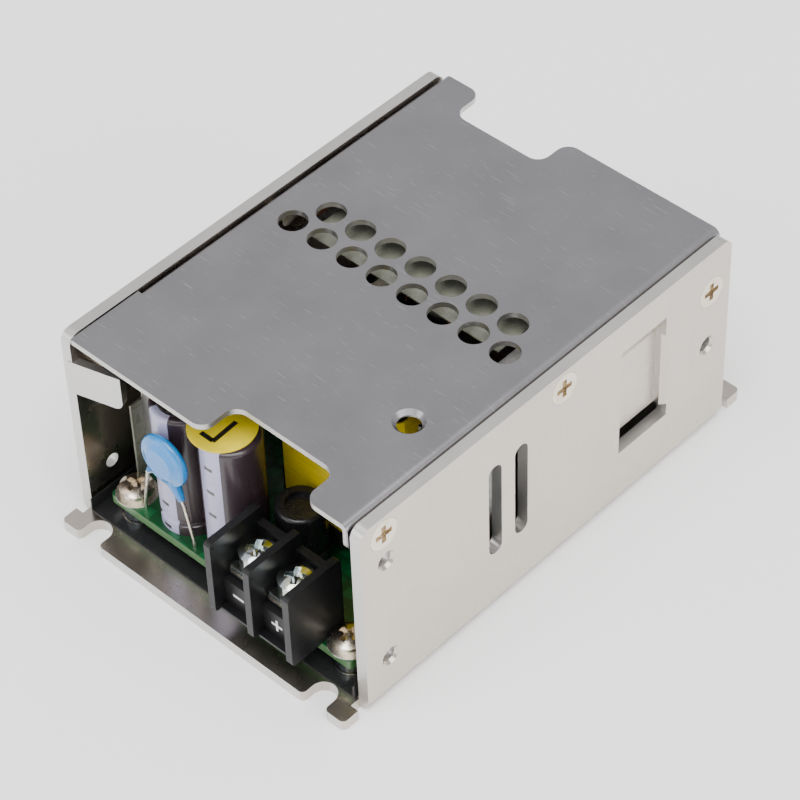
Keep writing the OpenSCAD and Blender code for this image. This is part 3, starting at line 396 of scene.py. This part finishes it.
# Plated metals: nickel is warm and bright, zinc bluish and smooth, tin pale.
nickel = plated_steel("nickel_plated_steel", "#e6dccd", "#dccfb9", 0.2)
zinc = plated_steel("blue_zinc_plated_steel", "#c9d3d6", "#cfd0bd", 0.14)
tinned = plated_steel("tinned_brass", "#dcd8cf", "#c9c3b2", 0.3)
copper_wire = plated_steel("enamelled_copper_wire", "#b8622f", "#8f431d", 0.3)

# Mouldings: dark ones with little sheen, light ones satin.
black_pbt = moulded("black_polyester_moulding", "#141416", 0.38, 0.15, 0.006, gloss=0.3)
black_epoxy = moulded("black_epoxy_moulding", "#18181a", 0.5, 0.2, 0.02, gloss=0.3)
adjuster_blue = moulded("blue_polycarbonate", "#2458a6", 0.35, 0.3, 0.01)
white_nylon = moulded("white_nylon", "#e6e3da", 0.45, 0.3, 0.01)
yellow_box = moulded("yellow_box_moulding", "#e0c52a", 0.4, 0.4, 0.01)

# Epoxy dip: a thick, wavy, shining coat.
blue_epoxy = moulded("blue_dipped_epoxy", "#0a7cc4", 0.3, 0.9, 0.03, coat=0.6)

# Films, sleeves and tape: smooth, slightly rippled and shining.
grey_film = moulded("grey_polyester_film", "#7b7c70", 0.28, 2.0, 0.02, coat=0.3)
# The base film is painted near black as painted shade. It stands for the shadow on the inner floor
# and for the dark inside that the floor reflects.
painted_shade_film = moulded("painted_shade_base_film", "#242425", 0.2, 2.0, 0.01, coat=0.3, gloss=0.4)
drum_sleeve = moulded("black_shrink_sleeve", "#1b1a1c", 0.3, 0.8, 0.03)
yellow_tape = tape("yellow_polyester_tape", "#ecd21c", 0.5)

# Ceramics, paper and ink: dull.
ferrite = moulded("sintered_ferrite", "#2f2d2d", 0.55, 0.25, 0.03)
fuse_ceramic = moulded("fuse_ceramic", "#cfc8b6", 0.4, 0.3, 0.01)
yellow_paper = moulded("yellow_sticker_paper", "#f4dc0c", 0.55, 0.2, 0.004)
print_white = moulded("white_print", "#e9e9e6", 0.6, 0.2, 0.002)
print_black = moulded("black_print", "#161616", 0.5, 0.2, 0.002)

board_green = solder_mask()

FINISHES = {
    "chassis": channel_sheet, "top_cover": shade_painted_cover, "cover_screws": nickel,
    "cover_film": grey_film, "base_film": painted_shade_film, "circuit_board": board_green,
    "board_standoffs": zinc, "board_screws": nickel,
    "output_terminal_block": black_pbt, "mains_terminal_block": black_pbt,
    "output_contact_strips": tinned, "mains_contact_strips": tinned,
    "inspection_sticker": yellow_paper, "disc_capacitor": blue_epoxy,
    "disc_capacitor_leads": tinned, "left_heat_sink": heat_sink_aluminium,
    "left_insulating_pad": grey_film, "power_transistor": black_epoxy,
    "transistor_screw": zinc, "right_heat_sink": heat_sink_aluminium,
    "output_rectifier": black_epoxy, "rectifier_screw": zinc,
    "transformer_core": ferrite, "transformer_bobbin": black_pbt,
    "transformer_winding": yellow_tape, "transformer_belt": yellow_tape,
    "output_inductor": drum_sleeve, "choke_core": ferrite, "choke_windings": copper_wire,
    "mains_filter_capacitor": yellow_box, "fuse": fuse_ceramic,
    "bridge_rectifier": black_epoxy, "thermistor": black_epoxy, "optocoupler": white_nylon,
    "adjuster_body": adjuster_blue, "adjuster_rotor": white_nylon}
for end, poles in (("output", ("minus", "plus")), ("mains", ("live", "neutral"))):
    for pole in poles:
        FINISHES[f"{end}_clamp_{pole}"] = FINISHES[f"{end}_screw_{pole}"] = zinc

# Capacitor, its radius in millimetres and the way its stripe faces in degrees.
for can, radius, stripe_way in (("output_capacitor_left", 5, -95),
                                ("output_capacitor_right", 5, -89),
                                ("bulk_capacitor", 10, 90)):
    low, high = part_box(can)
    FINISHES[can] = sleeve(can + "_sleeve", (low + high) / 2, high.z, radius * MM,
                           math.radians(stripe_way), "#33272d", "#a9a7c4")


# ---------- the object ----------

for name, material in FINISHES.items():
    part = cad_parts[name]
    part.data.materials.clear()
    part.data.materials.append(material)
terminal_signs(print_white)
sticker_tick(print_black)
pad_rings(tinned)

bpy.ops.mesh.primitive_plane_add(size=6, location=(0, 0, 0))
floor = bpy.context.object
floor.name = "floor"
floor.data.materials.append(
    new_material("white_floor", Base_Color=tint("#fcfcfc"), Roughness=0.9)[0])

world = bpy.data.worlds.new("studio")
world.use_nodes = True
world.node_tree.nodes["Background"].inputs["Color"].default_value = (0.96, 0.96, 0.97, 1)
world.node_tree.nodes["Background"].inputs["Strength"].default_value = 0.9
bpy.context.scene.world = world
soft_light("overhead", (0.2, -0.2, 1.1), (0, 0, 0), (1.0, 1.0), 19)
soft_light("right_side", (1.1, 0.1, 0.5), (0, 0, 0.02), (0.9, 0.6), 6)
soft_light("front_side", (-0.5, -1.0, 0.5), (0, 0, 0.02), (0.8, 0.6), 4)

place_camera()
